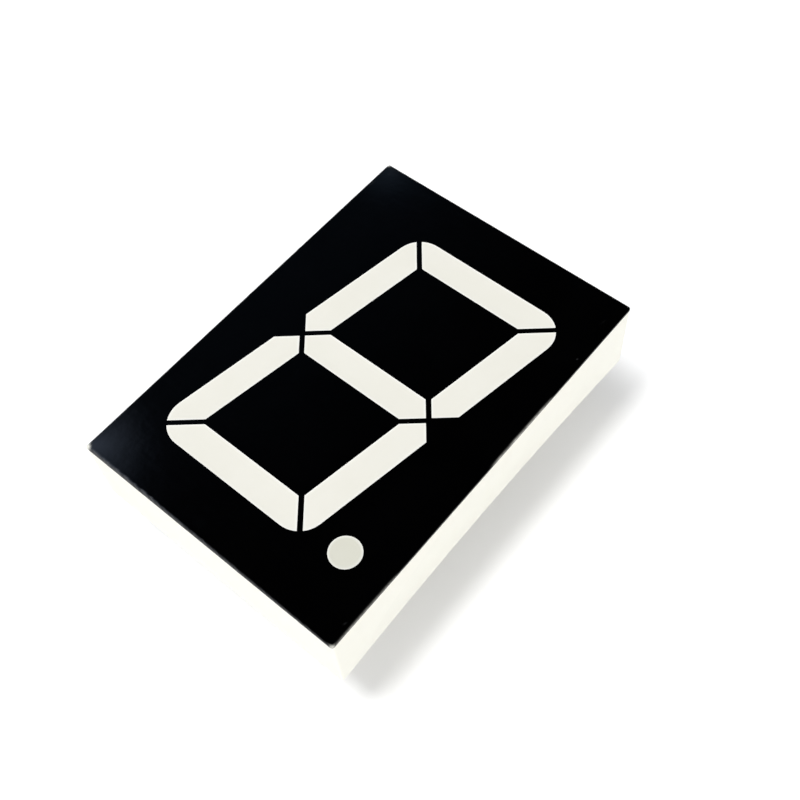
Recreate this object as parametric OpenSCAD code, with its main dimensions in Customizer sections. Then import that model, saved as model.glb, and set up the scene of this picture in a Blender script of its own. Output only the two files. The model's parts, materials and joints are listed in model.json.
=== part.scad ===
// One-digit seven segment display with a decimal point, on through-hole pins.
// Millimetres. The origin is the centre of the seat, the plane of the housing's rear rim.
// +Z points out of the face and +Y towards the top of the digit.

/* [Body] */
// Width of the body
body_w = 24; // [23:0.5:30]
// Length of the body
body_l = 34; // [30:0.5:42]
// Height of the body, from the rear rim to the face
body_h = 7; // [5.8:0.1:11]
// Radius of the body's four upright corners
corner_r = 0.2; // [0.1:0.05:1]
// Thickness of the side walls
wall = 1; // [0.8:0.05:1.4]
// Width of the ledge inside the walls that the circuit board rests on
ledge = 0.6; // [0.3:0.05:1]
// How far the long walls draw in at the middle of their rear rim
side_bow = 0.3; // [0.05:0.05:0.4]
// Thickness of the black face layer
mask_t = 0.15; // [0.1:0.01:0.4]
// Thickness of the housing's front web, between the light wells
web_t = 1; // [0.6:0.1:1.6]

/* [Digit] */
// Width between the centre lines of the left and right strokes
digit_w = 12.38; // [11:0.02:13]
// Plain face left above and below the digit
end_margin = 4.275; // [3.8:0.025:5.5]
// Lean of the upright strokes, in degrees
slant = 10; // [6:0.5:12]
// Width of a segment
seg_w = 2.45; // [2.2:0.05:3]
// Gap between neighbouring segments
seg_gap = 0.42; // [0.3:0.02:0.8]
// Radius of the digit's outer corners
digit_r = 2.2; // [1:0.1:3]
// Diameter of the decimal point
dp_d = 2.46; // [2:0.02:2.8]
// Distance from the lower right joint's centre line to the decimal point
dp_step = 4.08; // [3.8:0.02:4.6]
// How far the decimal point stands above the bottom row's centre line
dp_rise = 0.06; // [0:0.02:0.3]

/* [Light wells] */
// Depth of the straight land below the face, before a well starts to narrow
well_land = 0.4; // [0.3:0.05:0.8]
// Wall left round each light well
well_wall = 0.7; // [0.5:0.05:1]
// How far each long side of a well leans in, from the face to the circuit board
side_lean = 0.4; // [0.2:0.02:0.45]
// How far each end of a well leans in, from the face to the circuit board
end_lean = 0.9; // [0.3:0.05:1.2]
// Thickness of the ribs that tie the wells to the side walls
rib_t = 0.8; // [0.5:0.05:1.2]

/* [Circuit board] */
// Thickness of the circuit board
board_t = 1.2; // [0.8:0.1:1.6]
// Clearance between the circuit board and the side walls
board_gap = 0.15; // [0.05:0.05:0.3]
// Thickness of the copper, which lies flush in the board's faces
copper_t = 0.05; // [0.03:0.01:0.1]
// Width of a copper track
track_w = 0.5; // [0.3:0.05:0.7]
// Diameter of a through plug that joins the copper of the two faces
via_d = 0.3; // [0.2:0.05:0.4]
// Diameter of the pegs that hold the board
peg_d = 1.4; // [1:0.1:2]
// Clearance round a peg
peg_gap = 0.1; // [0.05:0.05:0.2]

/* [Light chips] */
// Side of a light chip
chip_w = 0.35; // [0.25:0.01:0.4]
// Height of a light chip
chip_h = 0.2; // [0.1:0.01:0.3]
// Distance between the two chips of a segment
chip_pitch = 5; // [3:0.1:5.6]
// Diameter of a bond wire
wire_d = 0.04; // [0.03:0.01:0.08]

/* [Pins] */
// Diameter of a pin's free end
pin_d = 0.5; // [0.4:0.02:0.6]
// Diameter of a pin's shank, where it is fixed in the board
shank_d = 0.64; // [0.62:0.02:0.8]
// Length of a pin below the seat
pin_len = 6.4; // [3:0.1:12]
// Distance between neighbouring pins of a row
pin_pitch = 2.54; // [2.3:0.02:2.54]
// Distance from an end of the body to the nearer row of pins
pin_inset = 3.03; // [2.8:0.01:3.2]
// Clearance round a shank in its plated hole
shank_gap = 0.02; // [0.01:0.01:0.05]

/* [Resin] */
// Depth of the back resin over the circuit board
resin_t = 1; // [0.7:0.1:2]
// How far the resin stays below the rear rim
resin_drop = 0.5; // [0.2:0.1:1]

/* [Hidden] */
$fn = 96;
// Facets of the very large cylinder that draws in the long walls
bow_fn = 360;
// How far a cutting shape passes beyond what it cuts
over = 1;

// Heights, from the seat upwards
resin_z = resin_drop;
board_back_z = resin_z + resin_t;
board_front_z = board_back_z + board_t;
mask_back_z = body_h - mask_t;
land_z = body_h - well_land;
web_back_z = mask_back_z - web_t;

// Step all round a well where its straight land ends
well_step = 0.03;

// Corners of the recess, and of the board that drops into it
recess_r = 0.4;
board_r = recess_r - board_gap;

// The long walls start to draw in this far below the face and this far past the upright corners
bow_start = 0.6;
bow_end = 0.3;

// Distance between the centre lines of two neighbouring rows of the digit
row_pitch = (body_l - 2 * end_margin - seg_w) / 2;
// Distance between the two rows of pins
pin_rows = body_l - 2 * pin_inset;

// Directions in the plane of the face, in degrees
upright = 90 - slant;
// Rising bisector between a row and an upright stroke; the falling one is square to it
mitre = upright / 2;

// Pins: a chamfered tip, a free end, a shoulder that widens inside the resin, a shank and a
// flat head on the board's front
tip_chamfer = 0.1;
shoulder_h = 0.6;
head_rim = 0.13;
head_d = shank_d + 2 * head_rim;
head_h = 0.25;
head_gap = 0.12;
pins_per_row = 5;
pin_count = 2 * pins_per_row;

// Copper: widths of the rings round the shanks and plugs, and the strip that the chips stand on
rear_ring = 0.53;
front_ring = 0.3;
via_ring = 0.25;
pad_d = shank_d + 2 * rear_ring;
front_pad_d = shank_d + 2 * front_ring;
via_pad_d = via_d + 2 * via_ring;
barrel_t = 0.12;
bend_rim = 0.05;
bend_d = track_w + 2 * bend_rim;
strip_w = 0.6;
// The copper of segment g passes this far to the left of the first pin
detour = 4.13;
bond_pad_w = 0.5;
bond_pad_l = 0.7;
// The chips stand this far outside a segment's centre line, and the bond pads this far inside it
chip_shift = 0.35;
bond_shift = 0.42;

// Solder cone round each shank: its ring at the top, and the bare rim of the pad round its base
solder_h = 0.6;
solder_ring = 0.1;
pad_rim = 0.1;
solder_top_d = shank_d + 2 * solder_ring;
solder_base_d = pad_d - 2 * pad_rim;

// Pegs: a post from the web to the board, and a staked head behind the board
post_rim = 0.8;
post_d = peg_d + 2 * post_rim;
stake_rim = 0.45;
stake_d = peg_d + 2 * stake_rim;
stake_h = 0.5;

// Segments in the order of their letters, and the pin that each one's copper leads to
LETTERS = ["a", "b", "c", "d", "e", "f", "g"];
SEGMENT_PINS = [7, 6, 4, 2, 1, 9, 10];
DP_PINS = [5];
COMMON_PINS = [3, 8];

// ---- Lines in the plane of the face: [a point, a heading in degrees, a draft] ----

function heading(angle) = [cos(angle), sin(angle)];
// The line moved to its own left-hand side
function left_of(line, d) = [line[0] + d * heading(line[1] + 90), line[1], line[2]];
function cross_z(a, b) = a.x * b.y - a.y * b.x;
function meet(a, b) =
    let (u = heading(a[1]), v = heading(b[1]))
    a[0] + u * cross_z(b[0] - a[0], v) / cross_z(u, v);
// The corners of the shape that lies to the left of every line
function corners(lines) =
    [for (i = [0:len(lines) - 1]) meet(lines[i], lines[(i + 1) % len(lines)])];

// ---- The digit's skeleton ----

// Where a row's centre line meets a stroke's: side is -1 or 1, row is -1, 0 or 1
function joint_at(side, row) =
    [side * digit_w / 2 + row * row_pitch * tan(slant), row * row_pitch];
dp_at = joint_at(1, -1) + [dp_step, dp_rise];

// An edge of a segment lies half its width to the right of a centre line's heading
function edge(at, angle, half = seg_w / 2) = left_of([at, angle, side_lean], -half);
// A mitred end lies half a gap to the left of the bisector through a joint
function cut_end(at, quarter) = left_of([at, mitre + 90 * quarter, end_lean], seg_gap / 2);

function row_sides(row, right_end, left_end) = concat(
    [edge(joint_at(1, row), 0)], right_end, [edge(joint_at(1, row), 180)], left_end);
function stroke_sides(side, top_end, bottom_end) = concat(
    [edge(joint_at(side, 0), upright)], top_end,
    [edge(joint_at(side, 0), upright + 180)], bottom_end);

// The sides of each segment, before the digit's outer corners are rounded
function sides_of(k) = [
    row_sides(1, [cut_end(joint_at(1, 1), 0)], [cut_end(joint_at(-1, 1), 3)]),
    stroke_sides(1, [cut_end(joint_at(1, 1), 2)],
        [cut_end(joint_at(1, 0), 3), cut_end(joint_at(1, 0), 0)]),
    stroke_sides(1, [cut_end(joint_at(1, 0), 1), cut_end(joint_at(1, 0), 2)],
        [cut_end(joint_at(1, -1), 3)]),
    row_sides(-1, [cut_end(joint_at(1, -1), 1)], [cut_end(joint_at(-1, -1), 2)]),
    stroke_sides(-1, [cut_end(joint_at(-1, 0), 1), cut_end(joint_at(-1, 0), 2)],
        [cut_end(joint_at(-1, -1), 0)]),
    stroke_sides(-1, [cut_end(joint_at(-1, 1), 1)],
        [cut_end(joint_at(-1, 0), 3), cut_end(joint_at(-1, 0), 0)]),
    row_sides(0, [cut_end(joint_at(1, 0), 0), cut_end(joint_at(1, 0), 1)],
        [cut_end(joint_at(-1, 0), 2), cut_end(joint_at(-1, 0), 3)]),
][k];

// The two joints that each segment runs between
function ends_of(k) = [
    [joint_at(-1, 1), joint_at(1, 1)],
    [joint_at(1, 0), joint_at(1, 1)],
    [joint_at(1, -1), joint_at(1, 0)],
    [joint_at(-1, -1), joint_at(1, -1)],
    [joint_at(-1, -1), joint_at(-1, 0)],
    [joint_at(-1, 0), joint_at(-1, 1)],
    [joint_at(-1, 0), joint_at(1, 0)],
][k];
function middle_of(k) = (ends_of(k)[0] + ends_of(k)[1]) / 2;
function length_of(k) = norm(ends_of(k)[1] - ends_of(k)[0]);
function turn_of(k) = [0, upright, upright, 0, upright, upright, 0][k];
// Which way is out of the digit: 1 to the left of the segment's heading, -1 to its right
function out_of(k) = [1, -1, -1, -1, 1, 1, 1][k];

// A leaning frame whose sides lie d outside the digit's outer centre lines
function frame(d) = corners([
    edge(joint_at(1, -1), 0, d), edge(joint_at(1, 0), upright, d),
    edge(joint_at(1, 1), 180, d), edge(joint_at(-1, 0), upright + 180, d)]);
// The space inside the upper (row 1) or lower (row 0) loop, its sides d inside the centre lines
function loop_inside(row, d) = corners([
    edge(joint_at(1, row - 1), 0, -d), edge(joint_at(1, 0), upright, -d),
    edge(joint_at(1, row), 180, -d), edge(joint_at(-1, 0), upright + 180, -d)]);
function loop_middle(row) = (joint_at(-1, row) + joint_at(1, row - 1)) / 2;

// The outer corners of the digit, as [side, row], that each segment touches
function corners_of(k) = [
    [[-1, 1], [1, 1]], [[1, 1]], [[1, -1]], [[-1, -1], [1, -1]], [[-1, -1]], [[-1, 1]], [],
][k];
function corner_start(side, row) = side > 0 ? (row > 0 ? upright : 0)
    : (row > 0 ? 180 : 180 + upright);
function corner_turn(side, row) = side * row > 0 ? 180 - upright : upright;
function corner_centre(side, row) = meet(
    edge(joint_at(side, row), corner_start(side, row), seg_w / 2 - digit_r),
    edge(joint_at(side, row), corner_start(side, row) + corner_turn(side, row),
        seg_w / 2 - digit_r));
// Three flats that stand in for the rounding below a well's land
function corner_flats(side, row) = [for (i = [1, 3, 5])
    let (turn = corner_turn(side, row), angle = corner_start(side, row) + i * turn / 6)
    edge(corner_centre(side, row), angle, digit_r * cos(turn / 6))];

// ---- Chips, bond pads and pins ----

function beside(k, i, side) =
    middle_of(k) + (i - 0.5) * chip_pitch * heading(turn_of(k))
    + side * out_of(k) * heading(turn_of(k) + 90);
function chip_at(k, i) = beside(k, i, chip_shift);
function bond_at(k, i) = beside(k, i, -bond_shift);
dp_chip_at = dp_at - [0, chip_shift];
dp_bond_at = dp_at + [0, bond_shift];
// Pins 1 to 5 run left to right along the bottom, and 6 to 10 right to left along the top
function pin_at(n) = n <= pins_per_row
    ? [(n - (pins_per_row + 1) / 2) * pin_pitch, -pin_rows / 2]
    : [((3 * pins_per_row + 1) / 2 - n) * pin_pitch, pin_rows / 2];

// ---- Plane shapes ----

module rounded_rectangle(w, l, r) {
    difference() {
        square([w, l], center = true);
        for (x = [-1, 1], y = [-1, 1])
            scale_to_quadrant(x, y) translate([w / 2 - r, l / 2 - r])
                difference() {
                    square(r + over);
                    circle(r);
                }
    }
}

module scale_to_quadrant(x, y) {
    mirror([x < 0 ? 1 : 0, 0]) mirror([0, y < 0 ? 1 : 0]) children();
}

// What rounding takes off the digit at one outer corner
module corner_trim(side, row) {
    start = corner_start(side, row);
    end = start + corner_turn(side, row);
    centre = corner_centre(side, row);
    difference() {
        polygon([
            centre,
            centre + (digit_r + over) * heading(start - 90),
            meet(edge(centre, start, digit_r + over), edge(centre, end, digit_r + over)),
            centre + (digit_r + over) * heading(end - 90),
        ]);
        translate(centre) circle(digit_r);
    }
}

module segment_shape(k) {
    difference() {
        polygon(corners(sides_of(k)));
        for (corner = corners_of(k)) corner_trim(corner[0], corner[1]);
    }
}

module recess_shape() {
    rounded_rectangle(body_w - 2 * wall, body_l - 2 * wall, recess_r);
}

module board_shape() {
    inset = 2 * (wall + board_gap);
    rounded_rectangle(body_w - inset, body_l - inset, board_r);
}

// The material between the web and the board: walls of the wells, ribs, posts
module well_walls_shape() {
    difference() {
        polygon(frame(seg_w / 2 + well_wall));
        for (row = [0, 1]) polygon(loop_inside(row, seg_w / 2 + well_wall));
    }
    translate(dp_at) circle(dp_d / 2 + well_wall);
    for (row = [-1, 0, 1])
        translate([0, row * row_pitch]) square([body_w - wall, rib_t], center = true);
    // Short ribs to the end walls, between the pins
    for (x = [-1, 1], y = [-1, 1])
        translate([x * 1.5 * pin_pitch, y * (row_pitch + body_l / 2) / 2])
            square([rib_t, body_l / 2 - row_pitch - wall], center = true);
    for (row = [0, 1]) translate(loop_middle(row)) circle(d = post_d);
}

// A run of copper along the points, with a round bend at each
module track_shape(points) {
    for (i = [0:len(points) - 1]) {
        translate(points[i]) circle(d = bend_d);
        if (i > 0) {
            run = points[i] - points[i - 1];
            translate(points[i - 1]) rotate(atan2(run.y, run.x))
                translate([0, -track_w / 2]) square([norm(run), track_w]);
        }
    }
}

// ---- Solids that several pieces share ----

module slab(z0, z1) {
    translate([0, 0, z0]) linear_extrude(z1 - z0) children();
}

// Everything to the left of a line that leans that way, going down, by its own draft
module leaning_side(line) {
    size = 2 * body_l;
    translate(concat(line[0], [land_z])) rotate(line[1])
        rotate([atan2(line[2], land_z - board_front_z), 0, 0])
            translate([-size / 2, 0, -size / 2]) cube(size);
}

// A light well is straight at the face, then narrows to the circuit board
module light_well(k) {
    flats = [for (corner = corners_of(k)) each corner_flats(corner[0], corner[1])];
    slab(land_z, body_h) segment_shape(k);
    intersection() {
        slab(board_front_z, land_z) square([body_w, body_l], center = true);
        intersection_for (line = concat(sides_of(k), flats))
            leaning_side(left_of(line, well_step));
    }
}

module dp_well() {
    top_r = dp_d / 2 - well_step;
    translate([dp_at.x, dp_at.y, 0]) {
        slab(land_z, body_h) circle(d = dp_d);
        translate([0, 0, board_front_z])
            cylinder(land_z - board_front_z, r1 = top_r - side_lean, r2 = top_r);
    }
}

module all_wells() {
    for (k = [0:6]) light_well(k);
    dp_well();
}

module chip(at, turn) {
    translate([at.x, at.y, board_front_z + chip_h / 2]) rotate(turn)
        cube([chip_w, chip_w, chip_h], center = true);
}

// A half loop from the top of a chip, with a straight drop to its bond pad
module bond_wire(chip_xy, bond_xy) {
    run = bond_xy - chip_xy;
    reach = norm(run);
    translate([chip_xy.x, chip_xy.y, board_front_z]) rotate(atan2(run.y, run.x)) {
        translate([reach / 2, 0, chip_h]) rotate([90, 0, 0])
            rotate_extrude(angle = 180) translate([reach / 2, 0]) circle(d = wire_d);
        translate([reach, 0, 0]) cylinder(chip_h, d = wire_d);
    }
}

module segment_chips(k) {
    for (i = [0, 1]) chip(chip_at(k, i), turn_of(k));
}

module segment_wires(k) {
    for (i = [0, 1]) bond_wire(chip_at(k, i), bond_at(k, i));
}

module dp_chip() {
    chip(dp_chip_at, 0);
}

module dp_wire() {
    bond_wire(dp_chip_at, dp_bond_at);
}

module shank(n, z0, z1, d = shank_d) {
    at = pin_at(n);
    translate([at.x, at.y, z0]) cylinder(z1 - z0, d = d);
}

module stake_heads() {
    for (row = [0, 1])
        translate(concat(loop_middle(row), [board_back_z - stake_h]))
            cylinder(stake_h, d1 = peg_d, d2 = stake_d);
}

// ---- Copper ----

// Round pads on both faces and the plated barrel between them
module pin_copper(n) {
    at = pin_at(n);
    hole_d = shank_d + 2 * shank_gap;
    difference() {
        translate(at) {
            slab(board_back_z, board_back_z + copper_t) circle(d = pad_d);
            slab(board_front_z - copper_t, board_front_z) circle(d = front_pad_d);
            slab(board_back_z, board_front_z) circle(d = hole_d + 2 * barrel_t);
        }
        slab(board_back_z - over, board_front_z + over) translate(at) circle(d = hole_d);
    }
}

// A bond pad, with a plug through the board to a pad on its back
module bond_copper(at, turn) {
    translate(at) {
        slab(board_front_z - copper_t, board_front_z) rotate(turn)
            square([bond_pad_l, bond_pad_w], center = true);
        slab(board_back_z, board_front_z) circle(d = via_d);
        slab(board_back_z, board_back_z + copper_t) circle(d = via_pad_d);
    }
}

// The runs on the board's back, from each segment's two plugs to its pin
function runs_of(k) =
    let (from = bond_at(k, 0), to = bond_at(k, 1), pin = pin_at(SEGMENT_PINS[k]))
    k == 0 || k == 3 ? [[from, to], [[pin.x, from.y], pin]]
    : k == 6 ? let (x = pin_at(1).x - detour) [[to, from, [x, from.y], [x, row_pitch], pin]]
    : pin.y > 0 ? [[from, to, pin]]
    : [[to, from, pin]];

module back_runs(runs, pin) {
    slab(board_back_z, board_back_z + copper_t) difference() {
        for (points = runs) track_shape(points);
        translate(pin_at(pin)) circle(d = shank_d + 2 * shank_gap + barrel_t);
    }
}

module segment_copper(k) {
    color("peru") {
        for (i = [0, 1]) bond_copper(bond_at(k, i), turn_of(k));
        back_runs(runs_of(k), SEGMENT_PINS[k]);
        pin_copper(SEGMENT_PINS[k]);
    }
}

module copper_dp() {
    color("peru") {
        bond_copper(dp_bond_at, 0);
        for (n = DP_PINS) {
            back_runs([[dp_bond_at, pin_at(n)]], n);
            pin_copper(n);
        }
    }
}

// The strip that all the chips stand on follows the digit, with a branch to the decimal
// point and one to each common pin
module copper_common() {
    strip_y = row_pitch + chip_shift;
    hole_d = shank_d + 2 * shank_gap;
    color("peru") {
        slab(board_front_z - copper_t, board_front_z) difference() {
            union() {
                difference() {
                    polygon(frame(chip_shift + strip_w / 2));
                    polygon(frame(chip_shift - strip_w / 2));
                }
                translate([0, chip_shift]) square([digit_w + chip_shift, strip_w], center = true);
                for (y = [-1, 1])
                    translate([0, y * (strip_y + pin_rows / 2) / 2])
                        square([strip_w, pin_rows / 2 - strip_y], center = true);
                translate([joint_at(1, -1).x, -strip_y - strip_w / 2])
                    square([dp_step + strip_w / 2, strip_w]);
            }
            for (n = COMMON_PINS) translate(pin_at(n)) circle(d = hole_d + barrel_t);
        }
        for (n = COMMON_PINS) pin_copper(n);
    }
}

module all_copper() {
    for (k = [0:6]) segment_copper(k);
    copper_dp();
    copper_common();
}

// ---- Pieces ----

// A cylinder so large that it only shaves the long wall, leaning in towards the rear rim
module bow_cut() {
    half = body_l / 2 - corner_r - bow_end;
    reach = body_h - bow_start;
    bow_r = (half * half + side_bow * side_bow) / (2 * side_bow);
    translate([body_w / 2 - side_bow, 0, 0]) rotate([0, atan2(side_bow, reach), 0])
        translate([bow_r, 0, 0]) cylinder(4 * body_h, r = bow_r, center = true, $fn = bow_fn);
}

module reflector_housing() {
    color("ivory") {
        difference() {
            slab(0, mask_back_z) rounded_rectangle(body_w, body_l, corner_r);
            slab(-over, board_front_z) recess_shape();
            // Cored out round the wells, up to the web
            slab(board_front_z - over, web_back_z) difference() {
                square([body_w, body_l] - 2 * (wall + ledge) * [1, 1], center = true);
                well_walls_shape();
            }
            all_wells();
            // Room for the pin heads
            for (n = [1:pin_count])
                shank(n, board_front_z - over, board_front_z + head_h + head_gap,
                    head_d + 2 * head_gap);
            for (x = [0, 1]) mirror([x, 0, 0]) bow_cut();
        }
        // The pegs, staked over behind the board
        for (row = [0, 1])
            translate(concat(loop_middle(row), [board_back_z]))
                cylinder(board_t, d = peg_d);
        stake_heads();
    }
}

module face_mask() {
    color([0.03, 0.03, 0.035]) slab(mask_back_z, body_h) difference() {
        rounded_rectangle(body_w, body_l, corner_r);
        for (k = [0:6]) segment_shape(k);
        translate(dp_at) circle(d = dp_d);
    }
}

module light_pipe(k) {
    color([0.91, 0.91, 0.87]) difference() {
        light_well(k);
        segment_chips(k);
        segment_wires(k);
    }
}

module decimal_point() {
    color([0.86, 0.87, 0.83]) difference() {
        dp_well();
        dp_chip();
        dp_wire();
    }
}

module circuit_board() {
    color([0.15, 0.42, 0.24]) difference() {
        slab(board_back_z, board_front_z) board_shape();
        all_copper();
        for (n = [1:pin_count])
            shank(n, board_back_z - over, board_front_z + over, shank_d + 2 * shank_gap);
        for (row = [0, 1])
            translate(concat(loop_middle(row), [board_back_z - over]))
                cylinder(board_t + 2 * over, d = peg_d + 2 * peg_gap);
    }
}

module bond_wires() {
    color("silver") {
        for (k = [0:6]) segment_wires(k);
        dp_wire();
    }
}

module pin(n) {
    at = pin_at(n);
    shoulder_z = resin_z + shoulder_h;
    color("lightgray") {
        shank(n, board_front_z, board_front_z + head_h, head_d);
        shank(n, shoulder_z, board_front_z);
        translate([at.x, at.y, resin_z]) cylinder(shoulder_h, d1 = pin_d, d2 = shank_d);
        shank(n, tip_chamfer - pin_len, resin_z, pin_d);
        translate([at.x, at.y, -pin_len])
            cylinder(tip_chamfer, d1 = pin_d - 2 * tip_chamfer, d2 = pin_d);
    }
}

module solder_cone(n) {
    at = pin_at(n);
    translate([at.x, at.y, board_back_z - solder_h])
        cylinder(solder_h, d1 = solder_top_d, d2 = solder_base_d);
}

module solder_joint(n) {
    color("silver") difference() {
        solder_cone(n);
        pin(n);
    }
}

// Fills the recess behind the board and the gap round the board's edge
module potting_resin() {
    color([0.93, 0.91, 0.82]) difference() {
        slab(resin_z, board_front_z) recess_shape();
        slab(board_back_z, board_front_z + over) board_shape();
        for (n = [1:pin_count]) {
            solder_cone(n);
            pin(n);
        }
        stake_heads();
    }
}

reflector_housing();
face_mask();
decimal_point();
circuit_board();
potting_resin();
copper_dp();
copper_common();
bond_wires();
color("gold") dp_chip();  // chip_dp
for (k = [0:6]) {
    light_pipe(k);
    segment_copper(k);
    for (i = [0, 1])
        color("gold") chip(chip_at(k, i), turn_of(k));
}
for (n = [1:pin_count]) {
    pin(n);
    solder_joint(n);
}
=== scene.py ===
"""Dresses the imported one-digit seven segment display: camera, studio, materials, fine detail.

The row frame has +Z out of the face and +Y towards the top of the digit, in metres.
"""

import json
import math

import bmesh
import bpy
from mathutils import Matrix, Vector, noise
from mathutils.geometry import delaunay_2d_cdt


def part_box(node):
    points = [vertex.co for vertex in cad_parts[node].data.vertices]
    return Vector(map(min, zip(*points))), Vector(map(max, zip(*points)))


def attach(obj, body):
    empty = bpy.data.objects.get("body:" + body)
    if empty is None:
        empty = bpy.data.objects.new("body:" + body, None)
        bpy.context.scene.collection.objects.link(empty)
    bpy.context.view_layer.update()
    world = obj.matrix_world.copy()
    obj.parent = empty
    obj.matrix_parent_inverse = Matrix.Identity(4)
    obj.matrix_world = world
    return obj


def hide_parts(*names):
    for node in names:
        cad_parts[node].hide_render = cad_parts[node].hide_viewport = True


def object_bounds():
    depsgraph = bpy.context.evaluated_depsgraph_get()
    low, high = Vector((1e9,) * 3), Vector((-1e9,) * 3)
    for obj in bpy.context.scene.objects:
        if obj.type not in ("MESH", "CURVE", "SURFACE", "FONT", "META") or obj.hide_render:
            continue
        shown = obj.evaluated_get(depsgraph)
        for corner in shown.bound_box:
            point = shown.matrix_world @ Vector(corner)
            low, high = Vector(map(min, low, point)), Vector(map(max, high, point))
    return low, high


MM = 0.001
LETTERS = "abcdefg"

# The camera, in millimetres in the row frame: its place, and its right, up and backward directions
CAMERA_AT = (33.7216, -29.9110, 77.2625)
CAMERA_RIGHT = (0.76534132, 0.64114707, -0.05641900)
CAMERA_UP = (-0.52770406, 0.67526905, 0.51530587)
CAMERA_BACK = (0.36848485, -0.36461233, 0.85514722)
CAMERA_LENS = 50.8079

# Black ink: rings round its edge, by their distance in from it in millimetres, and the corners
INK_INSETS = (0.45, 0.33, 0.25, 0.19, 0.14, 0.10, 0.065, 0.035, 0.012, 0.0)
INK_STEP = 0.1 * MM
INK_CORNER_R = 0.2 * MM
INK_CORNER_R_LEAST = 0.06 * MM
INK_CORNER_STEPS = 8
# The ink rolls over its edge: width in millimetres, and the share of painted highlight that greys
# the roll, on the +x, +y, -x and -y sides
ROLL_WIDTH = (0.035, 0.03, 0.11, 0.18)
ROLL_SHEEN = (0.06, 0.08, 0.30, 0.95)
ROLL_DROP = 0.11 * MM
ROLL_DROP_FULL_WIDTH = 0.1
# The roll and its painted highlight along the -y side fall off towards +x by this share
ROLL_AND_SHEEN_FALL = (0, 0, 0, 0.4)
# How far the ink stands out past the walls, with its waver, and how fast that fades inwards
INK_PROUD = 0.028 * MM
INK_WAVER = 0.004 * MM
PROUD_FADE_MM = 0.1
# Rings down the ink's side: share of its thickness, share of its stand, and whether it spills
INK_SIDE = ((0.8, 1.0, 0), (1.0, 0.8, 1), (1.12, -0.7, 1))
# How far the ink's lower border spills down: at least, and how much more at most, in millimetres
SPILL_LEAST, SPILL_MORE = 0.03, 0.035
# How far inside the walls the ink's flat back starts
INK_BACK_INSET = 0.1 * MM
# The lip of an opening: distance out from it and drop below the face, in millimetres
INK_LIP = ((0.025, 0.0), (0.008, 0.004), (0.0, 0.03))
# Stretches of the +x edge whose rim is greyed towards the pale plastic colour: middle and half
# length along y, and strength
PALE_STRETCHES = ((3.4, 3.7, 0.40), (-13.7, 3.4, 0.21))
PALE_REACH_MM = 0.07
# Corners where the ink is rubbed through: signs of x and y, reach in millimetres and strength
RUBBED_TIPS = ((-1, 1, 0.26, 0.5), (1, -1, 0.30, 0.6), (-1, -1, 0.46, 0.95))
# The face drops away a little at its two left corners, so they catch light from the side
DROOP_MM, DROOP_REACH = 0.26, 2.4 * MM
# Small scuffs on the face: place, length and width in millimetres, direction in degrees, and wear
SCUFFS = ((11.5, 10.8, 0.30, 0.16, 60, 0.30), (11.1, 14.7, 0.9, 0.07, 80, 0.12),
          (-11.75, 14.6, 1.1, 0.10, 84, 0.16), (11.55, -15.2, 0.5, 0.2, 70, 0.10),
          (-11.3, 16.2, 0.4, 0.12, 20, 0.12))

# Epoxy in the light wells: how far its surface sinks between the edges of a well, and over what
# distance; the rings of vertices and their step along the edge, all in millimetres
EPOXY_SINK_MM = 0.018
EPOXY_SINK_REACH = 0.22
EPOXY_EDGE_REACH = 0.09
EPOXY_RINGS = (0.03, 0.07, 0.13, 0.22, 0.4, 0.7)
EPOXY_STEP = 0.25

# Back resin: it climbs the walls and the pins by these heights, over these distances
RESIN_STEP = 0.16 * MM
WALL_CLIMB, WALL_REACH = 0.22 * MM, 0.45 * MM
PIN_CLIMB, PIN_REACH = 0.16 * MM, 0.22 * MM
PIN_R = 0.25 * MM
RESIN_WAVE, RESIN_WAVE_SIZE = 0.03 * MM, 6 * MM
RESIN_OVERLAP = 0.02 * MM

# The floor: half its side in metres. What is seen of it is lifted by a share of full white, which
# grows between a near and a far distance from the object
FLOOR_HALF = 1.5
FLOOR_NEAR, FLOOR_FAR = 0.12, 0.6
FLOOR_LIFT, FAR_FLOOR_LIFT = 0.135, 0.6
# A mirrored ray that rises by less than the first meets the white backdrop, and past the second
# only the glows; the world between the glows gives the dark level
BACKDROP_FULL, BACKDROP_TOP = 0.10, 0.26
DARK = 0.006
# Soft glows in the world: direction, angles in degrees where each ends and is full, and colour
GLOWS = (
    ((0.78, -0.56, 0.20), 86, 50, (1.265, 1.255, 1.235)),
    ((-0.95, 0.25, 0.15), 42, 20, (0.72, 0.70, 0.66)),
    ((-0.75, 0.35, 0.56), 30, 10, (0.03, 0.05, 0.08)),
    ((-0.686, -0.09, 0.72), 20, 7.5, (0.68, 0.84, 1.16)),
    ((-0.538, 0.672, 0.507), 18, 6, (0.12, 0.17, 0.25)),
)
# Square lamps overhead: name, direction, distance and size in metres, and level on the face
LAMPS = (
    ("key", (-0.10, -0.26, 0.96), 0.6, 0.11, 0.36),
    ("top", (-0.10, -0.12, 0.985), 0.6, 0.12, 0.23),
)


# ---- Shader graphs ----

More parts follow.
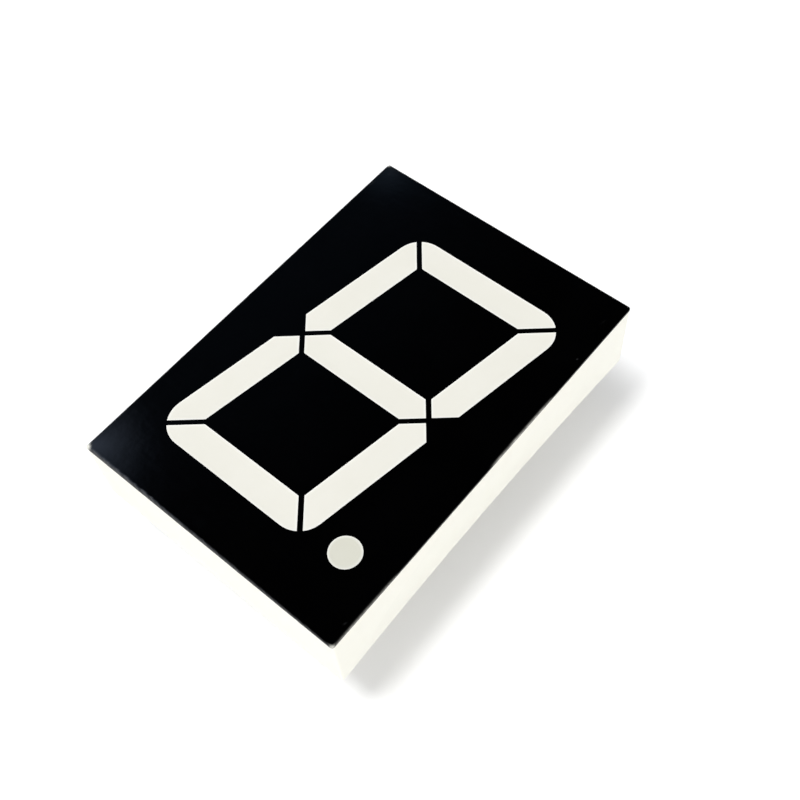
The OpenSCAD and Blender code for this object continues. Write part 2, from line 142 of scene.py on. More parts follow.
class Graph:
    """One node material, with short calls for the nodes that it is made of."""

    def __init__(self, name):
        self.material = bpy.data.materials.new(name)
        self.material.use_nodes = True
        self.tree = self.material.node_tree
        self.tree.nodes.clear()
        self.output = self.node("ShaderNodeOutputMaterial")
        self.surface = self.node("ShaderNodeBsdfPrincipled")
        self.link(self.surface.outputs["BSDF"], self.output.inputs["Surface"])
        self.place = self.node("ShaderNodeTexCoord").outputs["Object"]

    def node(self, kind, **settings):
        made = self.tree.nodes.new(kind)
        for key, value in settings.items():
            setattr(made, key, value)
        return made

    def link(self, source, target):
        self.tree.links.new(source, target)

    def plug(self, target, value):
        if isinstance(value, bpy.types.NodeSocket):
            self.link(value, target)
        else:
            target.default_value = value

    def set(self, **values):
        """Sets the surface's own sockets, by their names with spaces as underscores."""
        for key, value in values.items():
            self.plug(self.surface.inputs[key.replace("_", " ")], value)

    def noise(self, size_mm, detail=3.0, roughness=0.55, place=None):
        made = self.node("ShaderNodeTexNoise")
        self.link(place or self.place, made.inputs["Vector"])
        made.inputs["Scale"].default_value = 1 / (size_mm * MM)
        made.inputs["Detail"].default_value = detail
        made.inputs["Roughness"].default_value = roughness
        return made.outputs["Fac"]

    def stretch(self, scale):
        made = self.node("ShaderNodeVectorMath", operation="MULTIPLY")
        self.link(self.place, made.inputs[0])
        made.inputs[1].default_value = scale
        return made.outputs["Vector"]

    def span(self, value, low, high, to_low=0.0, to_high=1.0):
        made = self.node("ShaderNodeMapRange", interpolation_type="SMOOTHSTEP")
        self.link(value, made.inputs["Value"])
        made.inputs["From Min"].default_value = low
        made.inputs["From Max"].default_value = high
        made.inputs["To Min"].default_value = to_low
        made.inputs["To Max"].default_value = to_high
        return made.outputs["Result"]

    def math(self, operation, a, b=0.0):
        made = self.node("ShaderNodeMath", operation=operation)
        self.plug(made.inputs[0], a)
        self.plug(made.inputs[1], b)
        return made.outputs["Value"]

    def mix(self, factor, a, b):
        made = self.node("ShaderNodeMix", data_type="RGBA")
        self.plug(made.inputs["Factor"], factor)
        self.plug(made.inputs["A"], a if isinstance(a, bpy.types.NodeSocket) else (*a, 1))
        self.plug(made.inputs["B"], b if isinstance(b, bpy.types.NodeSocket) else (*b, 1))
        return made.outputs["Result"]

    def cells(self, size_mm):
        """Distance from the nearest of many scattered points, as a share of the size."""
        made = self.node("ShaderNodeTexVoronoi", feature="F1")
        self.link(self.place, made.inputs["Vector"])
        made.inputs["Scale"].default_value = 1 / (size_mm * MM)
        return made.outputs["Distance"]

    def oval(self, x, y, length, width, turn_deg):
        """Distance from a point of the face, which reaches 1 at the edge of an oval round it."""
        made = self.node("ShaderNodeMapping", vector_type="TEXTURE")
        self.link(self.place, made.inputs["Vector"])
        made.inputs["Location"].default_value = (x * MM, y * MM, 0)
        made.inputs["Rotation"].default_value = (0, 0, math.radians(turn_deg))
        made.inputs["Scale"].default_value = (length / 2 * MM, width / 2 * MM, 1)
        away = self.node("ShaderNodeVectorMath", operation="LENGTH")
        self.link(made.outputs["Vector"], away.inputs[0])
        return away.outputs["Value"]

    def axis(self, name):
        made = self.node("ShaderNodeSeparateXYZ")
        self.link(self.place, made.inputs[0])
        return made.outputs[name]

    def attribute(self, name):
        return self.node("ShaderNodeAttribute", attribute_name=name).outputs["Fac"]

    def bump(self, height, depth_mm, edge_mm=0.0):
        """Height from 0 to 1 lifts the surface by up to depth_mm, over edges rounded by edge_mm."""
        made = self.node("ShaderNodeBump")
        self.link(height, made.inputs["Height"])
        made.inputs["Distance"].default_value = depth_mm * MM
        if edge_mm:
            rounded = self.node("ShaderNodeBevel", samples=6)
            rounded.inputs["Radius"].default_value = edge_mm * MM
            self.link(rounded.outputs["Normal"], made.inputs["Normal"])
        self.link(made.outputs["Normal"], self.surface.inputs["Normal"])


def housing_plastic():
    g = Graph("housing_plastic")
    cloud = g.noise(6.0, detail=4.0)
    grain = g.noise(0.16, detail=2.0)
    flow = g.noise(1.0, detail=3.0, place=g.stretch((1.0, 1.0, 0.25)))
    colour = g.mix(g.span(cloud, 0.35, 0.65), (0.935, 0.925, 0.835), (0.955, 0.947, 0.86))
    colour = g.mix(g.span(flow, 0.52, 0.75, 0.0, 0.35), colour, (0.93, 0.91, 0.81))
    scuff = g.noise(0.5, detail=6.0, roughness=0.7, place=g.stretch((1.0, 1.0, 4.0)))
    colour = g.mix(g.span(scuff, 0.66, 0.74, 0.0, 0.25), colour, (0.84, 0.83, 0.79))
    g.set(Base_Color=colour, Roughness=g.span(cloud, 0.3, 0.7, 0.30, 0.42), IOR=1.53,
          Specular_IOR_Level=0.4)
    height = g.math("ADD", g.math("MULTIPLY", grain, 0.6), g.math("MULTIPLY", flow, 0.4))
    g.bump(height, 0.006, 0.05)
    return g.material


def black_ink():
    g = Graph("black_ink")
    peel = g.noise(0.35, detail=3.0)
    cloud = g.noise(5.0, detail=4.0)
    scratch = g.noise(0.9, detail=5.0, roughness=0.7, place=g.stretch((0.35, 1.7, 1.0)))
    lumps = g.noise(0.22, detail=3.0)
    # The edge attribute is the painted highlight on the rolled edge; the real scuffs are added to
    # it below
    sheen_and_scuffs = g.attribute("edge")
    ragged = g.math("MULTIPLY", g.noise(0.12, detail=2.0), 0.9)
    for x, y, length, width, turn, strength in SCUFFS:
        away = g.math("ADD", g.oval(x, y, length, width, turn), ragged)
        sheen_and_scuffs = g.math("MAXIMUM", sheen_and_scuffs, g.span(away, 0.45, 1.45, strength, 0.0))
    sheen_scuff_grey = g.math("MULTIPLY", sheen_and_scuffs, g.span(lumps, 0.3, 0.62, 0.7, 1.0))
    pale_share = g.math("MULTIPLY", g.attribute("pale_level"), g.span(lumps, 0.35, 0.6, 0.75, 1.0))
    colour = g.mix(g.span(cloud, 0.3, 0.7), (0.0001, 0.0001, 0.00015), (0.0003, 0.0003, 0.0004))
    # Grey painted highlight on the rolled edge, with the real scuffs in the same grey
    colour = g.mix(sheen_scuff_grey, colour, (0.075, 0.077, 0.080))
    colour = g.mix(pale_share, colour, (0.90, 0.89, 0.81))
    rough = g.math("ADD", g.span(scratch, 0.45, 0.75, 0.10, 0.14), g.math("MULTIPLY", sheen_scuff_grey, 0.3))
    g.set(Base_Color=colour, Roughness=rough, IOR=1.5, Specular_IOR_Level=0.4)
    low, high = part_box("face_mask")
    mirrored = g.node("ShaderNodeCombineXYZ")
    g.link(g.axis("X"), mirrored.inputs["X"])
    g.link(g.math("ABSOLUTE", g.axis("Y")), mirrored.inputs["Y"])
    g.link(g.axis("Z"), mirrored.inputs["Z"])
    away = g.node("ShaderNodeVectorMath", operation="DISTANCE")
    g.link(mirrored.outputs["Vector"], away.inputs[0])
    away.inputs[1].default_value = (low.x, high.y, high.z)
    droop = g.math("EXPONENT", g.math("MULTIPLY", away.outputs["Value"], -1 / DROOP_REACH))
    fine = g.math("MULTIPLY", g.math("ADD", peel, g.math("MULTIPLY", scratch, 0.5)), 0.0022)
    wavy = g.math("MULTIPLY", g.noise(2.0, detail=2.0), 0.009)
    g.bump(g.math("SUBTRACT", g.math("ADD", fine, wavy), g.math("MULTIPLY", droop, DROOP_MM)), 1.0)
    return g.material


def milky_epoxy(name, colour, tint):
    g = Graph(name)
    cloud = g.noise(2.6, detail=3.0)
    fine = g.noise(0.25, detail=3.0)
    edge = g.attribute("edge")
    shade = g.mix(g.span(cloud, 0.25, 0.75), colour, tint)
    shade = g.mix(g.math("MULTIPLY", edge, 0.55), shade, (0.93, 0.93, 0.90))
    g.set(Base_Color=shade, Roughness=g.span(fine, 0.3, 0.7, 0.34, 0.46), IOR=1.54,
          Specular_IOR_Level=0.3)
    g.bump(fine, 0.002)
    return g.material


def green_board():
    g = Graph("green_board")
    weave = g.node("ShaderNodeTexWave", wave_type="BANDS", bands_direction="X")
    cross = g.node("ShaderNodeTexWave", wave_type="BANDS", bands_direction="Y")
    for wave in (weave, cross):
        g.link(g.place, wave.inputs["Vector"])
        wave.inputs["Scale"].default_value = 0.32 / (0.45 * MM)
        wave.inputs["Distortion"].default_value = 0.6
    fibres = g.math("MAXIMUM", weave.outputs["Fac"], cross.outputs["Fac"])
    cloud = g.noise(3.0)
    colour = g.mix(g.span(fibres, 0.2, 0.9), (0.030, 0.135, 0.060), (0.045, 0.175, 0.082))
    colour = g.mix(g.span(cloud, 0.4, 0.7, 0.0, 0.3), colour, (0.06, 0.20, 0.09))
    g.set(Base_Color=colour, Roughness=g.span(cloud, 0.3, 0.7, 0.3, 0.42))
    g.bump(fibres, 0.006)
    return g.material


def copper_foil():
    g = Graph("copper_foil")
    cloud = g.noise(0.7, detail=4.0)
    fine = g.noise(0.12)
    colour = g.mix(g.span(cloud, 0.35, 0.65), (0.85, 0.42, 0.24), (0.62, 0.30, 0.17))
    g.set(Base_Color=colour, Metallic=1.0, Roughness=g.span(fine, 0.3, 0.7, 0.28, 0.42))
    g.bump(fine, 0.003)
    return g.material


def gold_wire():
    g = Graph("gold_wire")
    fine = g.noise(0.05)
    colour = g.mix(g.span(fine, 0.3, 0.7), (0.95, 0.66, 0.26), (0.80, 0.55, 0.22))
    g.set(Base_Color=colour, Metallic=1.0, Roughness=g.span(fine, 0.3, 0.7, 0.2, 0.3))
    g.bump(fine, 0.001)
    return g.material


def light_chip():
    g = Graph("light_chip")
    fine = g.noise(0.06)
    colour = g.mix(g.span(fine, 0.35, 0.65), (0.50, 0.42, 0.13), (0.38, 0.30, 0.10))
    g.set(Base_Color=colour, Roughness=g.span(fine, 0.3, 0.7, 0.12, 0.3), IOR=3.0)
    g.bump(fine, 0.002)
    return g.material


def tin_plate():
    g = Graph("tin_plate")
    drawn = g.noise(0.10, detail=3.0, place=g.stretch((1.0, 1.0, 0.06)))
    cloud = g.noise(0.9, detail=4.0)
    colour = g.mix(g.span(cloud, 0.35, 0.7), (0.80, 0.79, 0.77), (0.66, 0.65, 0.62))
    g.set(Base_Color=colour, Metallic=1.0, Roughness=g.span(drawn, 0.3, 0.7, 0.22, 0.38))
    g.bump(drawn, 0.004, 0.04)
    return g.material


def solder_metal():
    g = Graph("solder_metal")
    cloud = g.noise(0.4, detail=4.0)
    fine = g.noise(0.08)
    colour = g.mix(g.span(cloud, 0.35, 0.65), (0.72, 0.72, 0.73), (0.56, 0.56, 0.57))
    g.set(Base_Color=colour, Metallic=1.0, Roughness=g.span(fine, 0.3, 0.7, 0.24, 0.4))
    g.bump(cloud, 0.02)
    return g.material


def back_resin():
    g = Graph("back_resin")
    cloud = g.noise(4.0, detail=4.0)
    ripple = g.noise(2.2, detail=2.0)
    colour = g.mix(g.span(cloud, 0.35, 0.65), (0.90, 0.885, 0.80), (0.84, 0.83, 0.72))
    pit = g.span(g.cells(1.3), 0.05, 0.09, 1.0, 0.0)
    colour = g.mix(g.math("MULTIPLY", pit, 0.3), colour, (0.97, 0.97, 0.93))
    g.set(Base_Color=colour, Roughness=g.span(cloud, 0.3, 0.7, 0.10, 0.18), IOR=1.54,
          Transmission_Weight=0.45)
    g.bump(g.math("SUBTRACT", ripple, g.math("MULTIPLY", pit, 0.2)), 0.05)
    return g.material


# ---- Meshes ----

def piece(name, bm, material, node):
    """Turns bm into an object that stands for the CAD node."""
    mesh = bpy.data.meshes.new(name)
    bm.to_mesh(mesh)
    bm.free()
    made = bpy.data.objects.new(name, mesh)
    bpy.context.scene.collection.objects.link(made)
    mesh.materials.append(material)
    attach(made, "root")
    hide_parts(node)


def node_mesh(node):
    """A clean copy of a CAD node's mesh, its flat faces joined up again."""
    bm = bmesh.new()
    bm.from_mesh(FRAME["nodes"][node].data)
    bmesh.ops.remove_doubles(bm, verts=bm.verts, dist=0.0005 * MM)
    bmesh.ops.dissolve_limit(bm, angle_limit=math.radians(0.05), verts=bm.verts, edges=bm.edges)
    bm.normal_update()
    return bm


def front_faces(bm, node):
    """The faces of a CAD node's mesh that lie in its front."""
    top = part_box(node)[1].z - 0.01 * MM
    return [f for f in bm.faces if f.normal.z > 0.99 and f.calc_center_median().z > top]


def front_loops(node):
    """The closed outlines of a CAD node's front, longest first, as lists of points."""
    bm = node_mesh(node)
    faces = front_faces(bm, node)
    flat = set(faces)
    edges = {e: f for f in faces for e in f.edges if len(flat.intersection(e.link_faces)) == 1}
    loops = []
    while edges:
        first = next(iter(edges))
        del edges[first]
        loop = [first.verts[0], first.verts[1]]
        while loop[-1] is not loop[0]:
            step = next(e for e in loop[-1].link_edges if e in edges)
            del edges[step]
            loop.append(step.other_vert(loop[-1]))
        loops.append([v.co.copy() for v in loop[:-1]])
    bm.free()
    return sorted(loops, key=lambda points: -path_length(points))


def path_length(points):
    return sum((a - b).length for a, b in zip(points, points[1:] + points[:1]))


def rounded_rectangle(half_w, half_l, r, arc_steps, step):
    """Points and outward directions round a rectangle, counterclockwise, at about even steps."""
    points = []
    for turn, (sx, sy) in enumerate(((1, 1), (-1, 1), (-1, -1), (1, -1))):
        centre = Vector((sx * (half_w - r), sy * (half_l - r), 0))
        for i in range(arc_steps + 1):
            angle = math.radians(90 * turn + 90 * i / arc_steps)
            out = Vector((math.cos(angle), math.sin(angle), 0))
            points.append((centre + r * out, out))
        length = 2 * (half_l if turn % 2 else half_w) - 2 * r
        along = Vector((-out.y, out.x, 0))
        start = points[-1][0]
        steps = round(length / step)
        points += [(start + along * (length * i / steps), out) for i in range(1, steps)]
    return points


def smooth_step(value, low, high):
    t = min(1.0, max(0.0, (value - low) / (high - low)))
    return t * t * (3 - 2 * t)


def by_side(out, values):
    """Blends a value for each of the +x, +y, -x and -y sides by the way that a rim point faces."""
    shares = [max(0.0, part) ** 2 for part in (out.x, out.y, -out.x, -out.y)]
    return sum(share * value for share, value in zip(shares, values))


def rim_paleness(at, out, inset, corner):
    """How far a point of the ink's rim is greyed towards the pale plastic colour, at rubbed-through
    corners and along pale stretches of the +x edge.
    """
    grain = noise.noise(at / (0.3 * MM))
    pale_level = 0.0
    for middle, half, strength in PALE_STRETCHES:
        u = (at.y / MM - middle) / half
        if out.x > 0.7 and abs(u) < 1:
            patch = 0.72 + 0.5 * noise.noise(at / (1.1 * MM)) + 0.25 * grain
            fade = (1 - u ** 4) * math.exp(-(inset / PALE_REACH_MM) ** 2)
            pale_level = max(pale_level, strength * patch * fade)
    for sx, sy, reach, strength in RUBBED_TIPS:
        away = math.hypot(at.x - sx * corner.x, at.y - sy * corner.y) / MM
        pale_level = max(pale_level, strength * (1 - smooth_step(away + 0.06 * grain, 0.5 * reach, reach)))
    return min(1.0, max(0.0, pale_level))


def ink_skin():
    """The black layer: flat over the face, rolled over its edge, with an uneven lower border."""
    low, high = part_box("face_mask")
    thick = high.z - low.z
    bm = bmesh.new()
    edge = bm.verts.layers.float.new("edge")
    pale_share = bm.verts.layers.float.new("pale_level")
    step = 2 * high.y / round(2 * high.y / INK_STEP)

    def rim(inset):
        radius = max(INK_CORNER_R - inset, INK_CORNER_R_LEAST)
        spacing = step * (high.y - inset) / high.y
        return rounded_rectangle(high.x - inset, high.y - inset, radius, INK_CORNER_STEPS, spacing)

    def waver(at):
        return INK_WAVER * noise.noise(at / (0.6 * MM))

    outer = rim(0.0)
    rings = []
    for inset in INK_INSETS:
        ring = []
        for (at, out), (home, _) in zip(rim(inset * MM), outer):
            lump = noise.fractal(home / (0.45 * MM), 1.0, 2.0, 3)
            width = by_side(out, ROLL_WIDTH) * (1 + 0.3 * lump)
            gain = 1 - at.x / high.x * by_side(out, ROLL_AND_SHEEN_FALL)
            turn = max(0.0, 1 - inset / (width * gain))
            share = min(1.0, width / ROLL_DROP_FULL_WIDTH)
            drop = ROLL_DROP * share * (1 - math.sqrt(1 - turn * turn))
            swell = (INK_PROUD + waver(home)) * math.exp(-inset / PROUD_FADE_MM)
            # Painted highlight: the rolled edge is greyed where it would catch the light, most on
            # the -y side
            sheen_and_scuffs = by_side(out, ROLL_SHEEN) * gain * (0.85 + 0.5 * lump)
            v = bm.verts.new(at + out * swell + Vector((0, 0, high.z - drop)))
            v[edge] = sheen_and_scuffs * smooth_step(turn, 0.0, 0.8)
            v[pale_share] = rim_paleness(at, out, inset, high)
            ring.append(v)
        rings.append(ring)
    for depth, proud, spills in INK_SIDE:
        ring = []
        for at, out in outer:
            run = 0.5 + 0.5 * noise.fractal(at / (0.9 * MM), 1.0, 2.0, 3)
            spill = (SPILL_LEAST + SPILL_MORE * run) * MM * spills
            shift = proud * INK_PROUD + waver(at)
            v = bm.verts.new(at + out * shift + Vector((0, 0, high.z - depth * thick - spill)))
            # The ink's side carries the full painted highlight share of its side
            v[edge] = by_side(out, ROLL_SHEEN)
            v[pale_share] = rim_paleness(at, out, 0.0, high)
            ring.append(v)
        rings.append(ring)
    rings.append([bm.verts.new(at + Vector((0, 0, low.z))) for at, _ in rim(INK_BACK_INSET)])
    for inner, outwards in zip(rings, rings[1:]):
        bridge(bm, inner, outwards)

    # The front and the back: filled between the first or the last ring and the openings
    front, back = [rings[0]], [rings[-1]]
    for opening in front_loops("face_mask")[1:]:
        ways = [opening_out(opening, i) for i in range(len(opening))]
        lip = [[bm.verts.new(p + way * away * MM - Vector((0, 0, drop * MM)))
                for p, way in zip(opening, ways)]
               for away, drop in (*INK_LIP, (0.0, thick / MM))]
        for inner, outwards in zip(lip, lip[1:]):
            bridge(bm, outwards, inner)
        front.append(lip[0])
        back.append(lip[-1])
    fill_flat(bm, front)
    fill_flat(bm, back)
    # The triangulation can leave out a sliver along a straight side
    bmesh.ops.holes_fill(bm, edges=[e for e in bm.edges if e.is_boundary])
    bmesh.ops.recalc_face_normals(bm, faces=bm.faces)
    for f in bm.faces:
        f.smooth = abs(f.normal.z) < 0.9999
    return bm


def bridge(bm, ring, beyond):
    """Faces between two closed rings with the same number of vertices."""
    size = len(ring)
    for i in range(size):
        j = (i + 1) % size
        bm.faces.new((ring[i], beyond[i], beyond[j], ring[j]))


def fill_flat(bm, borders, inner=()):
    """Fills the flat inside the first closed line of vertices and outside the others.

    The inner vertices become corners of its faces too.
    """
    verts = [v for border in borders for v in border] + list(inner)
    points = [Vector((v.co.x, v.co.y)) / MM for v in verts]
    edges = []
    start = 0
    for border in borders:
        size = len(border)
        edges += [(start + i, start + (i + 1) % size) for i in range(size)]
        start += size
    _, sides, faces, origins, side_origins, _ = delaunay_2d_cdt(points, edges, [], 0, 1e-6)
    walls = {frozenset(side) for side, origin in zip(sides, side_origins) if origin}
    for face in enclosed(faces, walls):
        bm.faces.new([verts[origins[i][0]] for i in face])


def enclosed(faces, walls):
    """The faces of a flat net that lie across an odd number of walls from the outside."""
    rims = [[frozenset(side) for side in zip(face, face[1:] + face[:1])] for face in faces]
    owners = {}
    for k, rim in enumerate(rims):
        for side in rim:
            owners.setdefault(side, []).append(k)
    within = {own[0]: side in walls for side, own in owners.items() if len(own) == 1}
    queue = list(within)
    for k in queue:
        for side in rims[k]:
            for beyond in owners[side]:
                if beyond not in within:
                    within[beyond] = within[k] != (side in walls)
                    queue.append(beyond)
    return [face for k, face in enumerate(faces) if within[k]]


def inside(outline, p):
    """Whether a flat point lies inside a closed outline."""
    crossings = 0
    for a, b in zip(outline, outline[1:] + outline[:1]):
        if (a.y > p.y) != (b.y > p.y):
            crossings += p.x < a.x + (p.y - a.y) * (b.x - a.x) / (b.y - a.y)
    return crossings % 2 == 1


def border_distance(outline, p):
    """How far a flat point lies from a closed outline."""
    best = math.inf
    for a, b in zip(outline, outline[1:] + outline[:1]):
        run = b - a
        t = min(1.0, max(0.0, (p - a).dot(run) / run.length_squared))
        best = min(best, (a + run * t - p).length)
    return best


def opening_out(points, i):
    """The direction at point i of a closed outline that leads away from the opening's middle."""
    before, at, after = points[i - 1], points[i], points[(i + 1) % len(points)]
    a, b = (at - before).normalized(), (after - at).normalized()
    normal = Vector((a.y + b.y, -a.x - b.x, 0))
    normal = normal.normalized() if normal.length > 1e-6 else Vector((a.y, -a.x, 0))
    middle = sum(points, Vector()) / len(points)
    return normal if normal.dot(at - middle) > 0 else -normal


def sunk_epoxy(node):
    """A well's epoxy, its front sunk by a hair between the edges, with the edge marked."""
    bm = node_mesh(node)
    edge = bm.verts.layers.float.new("edge")
    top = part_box(node)[1].z
    face = max(front_faces(bm, node), key=lambda f: f.calc_area())
    for e in list(face.edges):
        cuts = round(e.calc_length() / (EPOXY_STEP * MM)) - 1
        if cuts > 0:
            bmesh.ops.subdivide_edges(bm, edges=[e], cuts=cuts)
    border = [loop.vert for loop in face.loops]
    bmesh.ops.delete(bm, geom=[face], context="FACES_ONLY")
    outline = [Vector((v.co.x, v.co.y)) / MM for v in border]
    spots = []
    for a, b in zip(outline, outline[1:] + outline[:1]):
        inwards = Vector((a.y - b.y, b.x - a.x)).normalized()
        spots += [((a + b) / 2 + inwards * ring, ring) for ring in EPOXY_RINGS]
    inner = []
    for spot, ring in spots:
        away = border_distance(outline, spot)
        near = any((spot - other).length < 0.5 * min(ring, EPOXY_STEP) for other, _ in inner)
        if inside(outline, spot) and away > 0.97 * ring and not near:
            inner.append((spot, away))
    verts = []
    for spot, away in inner:
        sink = EPOXY_SINK_MM * (1 - math.exp(-away / EPOXY_SINK_REACH))
        v = bm.verts.new((spot.x * MM, spot.y * MM, top - sink * MM))
        v[edge] = math.exp(-(away / EPOXY_EDGE_REACH) ** 2)
        verts.append(v)
    for v in border:
        v[edge] = 1.0
    fill_flat(bm, [border], verts)
    bmesh.ops.recalc_face_normals(bm, faces=bm.faces)
    for f in bm.faces:
        f.smooth = f.normal.z > 0.9
    return bm


def resin_fill():
    """The back resin: level, but for where it climbs the walls and the pins."""
    low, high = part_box("potting_resin")
    grown = Vector((RESIN_OVERLAP, RESIN_OVERLAP, 0))
    low, high = low - grown, high + grown
    columns = round((high.x - low.x) / RESIN_STEP)
    rows = round((high.y - low.y) / RESIN_STEP)
    pins = [sum(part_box(f"pin_{n}"), Vector()) / 2 for n in range(1, 11)]

    def surface(x, y):
        wall = min(x - low.x, high.x - x, y - low.y, high.y - y)
        climb = WALL_CLIMB * math.exp(-wall / WALL_REACH)
        for pin in pins:
            away = max(0.0, math.hypot(x - pin.x, y - pin.y) - PIN_R)
            if away < 6 * PIN_REACH:
                climb += PIN_CLIMB * math.exp(-away / PIN_REACH)
        return low.z - climb - RESIN_WAVE * noise.noise(Vector((x, y, 0)) / RESIN_WAVE_SIZE)

    bm = bmesh.new()
    xs = [low.x + (high.x - low.x) * i / columns for i in range(columns + 1)]
    ys = [low.y + (high.y - low.y) * j / rows for j in range(rows + 1)]
    grid = [[bm.verts.new((x, y, surface(x, y))) for x in xs] for y in ys]
    for line, beyond in zip(grid, grid[1:]):
        for i in range(columns):
            bm.faces.new((line[i], beyond[i], beyond[i + 1], line[i + 1]))
    border = (grid[0] + [line[-1] for line in grid[1:]]
              + grid[-1][-2::-1] + [line[0] for line in grid[-2:0:-1]])
    floor_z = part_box("circuit_board")[0].z + RESIN_OVERLAP
    lower = [bm.verts.new((v.co.x, v.co.y, floor_z)) for v in border]
    bridge(bm, border, lower)
    bm.faces.new(lower)
    bmesh.ops.recalc_face_normals(bm, faces=bm.faces)
    for f in bm.faces:
        f.smooth = f.calc_area() < (2 * RESIN_STEP) ** 2
    return bm


# ---- The studio ----

def paint(node, material):
    node.data.materials.clear()
    node.data.materials.append(material)


def white_floor():
    """A pale floor at the pin tips that renders white where nothing shades it."""
    g = Graph("studio_floor")
    cloud = g.noise(40.0)
    g.set(Base_Color=g.mix(cloud, (0.90, 0.90, 0.90), (0.92, 0.92, 0.92)), Roughness=0.8,
          Specular_IOR_Level=0.1)
    paths = g.node("ShaderNodeLightPath")
    seen = g.math("MAXIMUM", paths.outputs["Is Camera Ray"], paths.outputs["Is Glossy Ray"])
    seen = g.math("MAXIMUM", seen, paths.outputs["Is Transmission Ray"])
    far = g.node("ShaderNodeVectorMath", operation="LENGTH")
    g.link(g.place, far.inputs[0])
    lift = g.span(far.outputs["Value"], FLOOR_NEAR, FLOOR_FAR, FLOOR_LIFT, FAR_FLOOR_LIFT)
    g.set(Emission_Color=(1, 1, 1, 1), Emission_Strength=g.math("MULTIPLY", seen, lift))
    bm = bmesh.new()
    corners = ((-1, -1), (1, -1), (1, 1), (-1, 1))
    bm.faces.new([bm.verts.new((x * FLOOR_HALF, y * FLOOR_HALF, CAD_BOX[0][2]))
                  for x, y in corners])
    mesh = bpy.data.meshes.new("floor")
    bm.to_mesh(mesh)
    bm.free()
    floor = bpy.data.objects.new("floor", mesh)
    bpy.context.scene.collection.objects.link(floor)
    mesh.materials.append(g.material)


def softbox(name, towards, distance, size, level):
    """A square lamp that lights a surface facing it to the level, and leaves no highlight."""
    data = bpy.data.lights.new(name, "AREA")
    data.shape = "SQUARE"
    data.size = size
    data.energy = level * math.pi ** 2 * distance ** 2
    lamp = bpy.data.objects.new(name, data)
    direction = Vector(towards).normalized()
    lamp.location = direction * distance
    lamp.rotation_euler = direction.to_track_quat("Z", "Y").to_euler()
    lamp.visible_glossy = False
    bpy.context.scene.collection.objects.link(lamp)


def sky():
    """World light: soft glows, before a white backdrop that only the camera and mirrors see."""
    world = bpy.data.worlds.new("studio")
    bpy.context.scene.world = world
    world.use_nodes = True
    tree = world.node_tree
    tree.nodes.clear()
    place = tree.nodes.new("ShaderNodeTexCoord")
    total = None
    for towards, rim_deg, full_deg, colour in GLOWS:
        dot = tree.nodes.new("ShaderNodeVectorMath")
        dot.operation = "DOT_PRODUCT"
        dot.inputs[1].default_value = Vector(towards).normalized()
        tree.links.new(place.outputs["Generated"], dot.inputs[0])
        ramp = tree.nodes.new("ShaderNodeMapRange")
        ramp.interpolation_type = "SMOOTHSTEP"
        ramp.inputs["From Min"].default_value = math.cos(math.radians(rim_deg))
        ramp.inputs["From Max"].default_value = math.cos(math.radians(full_deg))
        tree.links.new(dot.outputs["Value"], ramp.inputs["Value"])
        glow = tree.nodes.new("ShaderNodeVectorMath")
        glow.operation = "MULTIPLY_ADD"
        tree.links.new(ramp.outputs["Result"], glow.inputs[0])
        glow.inputs[1].default_value = colour
        if total:
            tree.links.new(total, glow.inputs[2])
        else:
            glow.inputs[2].default_value = (DARK, DARK, DARK)
        total = glow.outputs["Vector"]
    light = tree.nodes.new("ShaderNodeBackground")
    tree.links.new(total, light.inputs["Color"])
    backdrop = tree.nodes.new("ShaderNodeBackground")
    backdrop.inputs["Color"].default_value = (1, 1, 1, 1)
    height = tree.nodes.new("ShaderNodeSeparateXYZ")
    tree.links.new(place.outputs["Generated"], height.inputs["Vector"])
    near = tree.nodes.new("ShaderNodeMapRange")
    near.interpolation_type = "SMOOTHSTEP"
    near.inputs["From Min"].default_value = BACKDROP_TOP
    near.inputs["From Max"].default_value = BACKDROP_FULL
    tree.links.new(height.outputs["Z"], near.inputs["Value"])
    paths = tree.nodes.new("ShaderNodeLightPath").outputs

    def combine(operation, a, b):
        made = tree.nodes.new("ShaderNodeMath")
        made.operation = operation
        tree.links.new(a, made.inputs[0])
        tree.links.new(b, made.inputs[1])
        return made.outputs[0]

    mirrored = combine("MAXIMUM", paths["Is Glossy Ray"], paths["Is Transmission Ray"])
    mirrored = combine("MULTIPLY", mirrored, near.outputs["Result"])
    blend = tree.nodes.new("ShaderNodeMixShader")
    tree.links.new(combine("MAXIMUM", paths["Is Camera Ray"], mirrored), blend.inputs["Fac"])
    tree.links.new(light.outputs["Background"], blend.inputs[1])
    tree.links.new(backdrop.outputs["Background"], blend.inputs[2])
    output = tree.nodes.new("ShaderNodeOutputWorld")
    tree.links.new(blend.outputs["Shader"], output.inputs["Surface"])


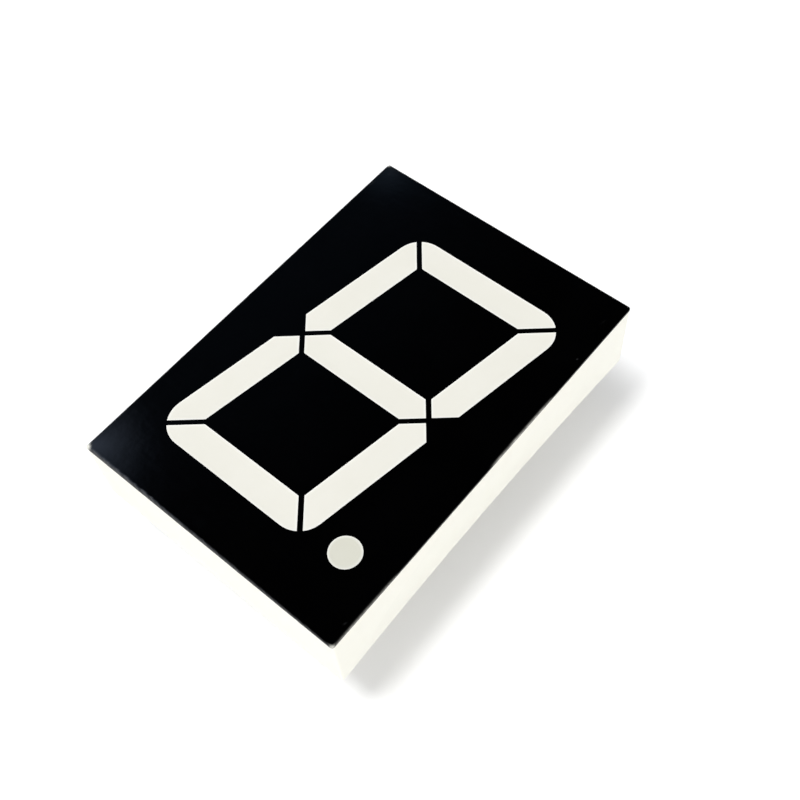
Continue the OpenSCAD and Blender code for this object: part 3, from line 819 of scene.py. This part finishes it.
def studio_camera():
    data = bpy.data.cameras.new("camera")
    data.sensor_width = 36.0
    data.lens = CAMERA_LENS
    data.clip_start = 1 * MM
    camera = bpy.data.objects.new("camera", data)
    turn = Matrix((CAMERA_RIGHT, CAMERA_UP, CAMERA_BACK)).transposed()
    camera.matrix_world = Matrix.Translation(Vector(CAMERA_AT) * MM) @ turn.to_4x4()
    bpy.context.scene.collection.objects.link(camera)
    bpy.context.scene.camera = camera


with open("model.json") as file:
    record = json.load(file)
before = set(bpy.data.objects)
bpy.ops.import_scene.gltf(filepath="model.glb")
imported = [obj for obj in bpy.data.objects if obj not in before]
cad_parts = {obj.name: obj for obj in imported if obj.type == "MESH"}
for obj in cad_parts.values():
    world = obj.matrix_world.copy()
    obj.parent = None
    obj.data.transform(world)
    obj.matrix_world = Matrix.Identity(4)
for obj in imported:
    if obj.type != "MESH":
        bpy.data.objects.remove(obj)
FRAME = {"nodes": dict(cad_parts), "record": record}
CAD_BOX = [list(corner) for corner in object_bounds()]

studio_camera()
white_floor()
sky()
for lamp in LAMPS:
    softbox(*lamp)

bpy.context.scene.view_settings.view_transform = "Standard"

INK = black_ink()
EPOXY = milky_epoxy("segment_epoxy", (0.797, 0.783, 0.711), (0.782, 0.768, 0.691))
DOT_EPOXY = milky_epoxy("dot_epoxy", (0.665, 0.66, 0.575), (0.65, 0.645, 0.555))
PLAIN = {
    "housing": housing_plastic(), "board": green_board(), "copper": copper_foil(),
    "wire": gold_wire(), "chip": light_chip(), "pin": tin_plate(), "solder": solder_metal(),
    "resin": back_resin(), "mask": INK, "epoxy": EPOXY,
}
for row in FRAME["record"]["subparts"]:
    paint(FRAME["nodes"][row["node"]], PLAIN[row["material_slot"]])

piece("ink_skin", ink_skin(), INK, "face_mask")
for letter in LETTERS:
    piece(f"epoxy_{letter}", sunk_epoxy(f"segment_{letter}"), EPOXY, f"segment_{letter}")
piece("epoxy_dot", sunk_epoxy("decimal_point"), DOT_EPOXY, "decimal_point")
piece("resin_fill", resin_fill(), PLAIN["resin"], "potting_resin")
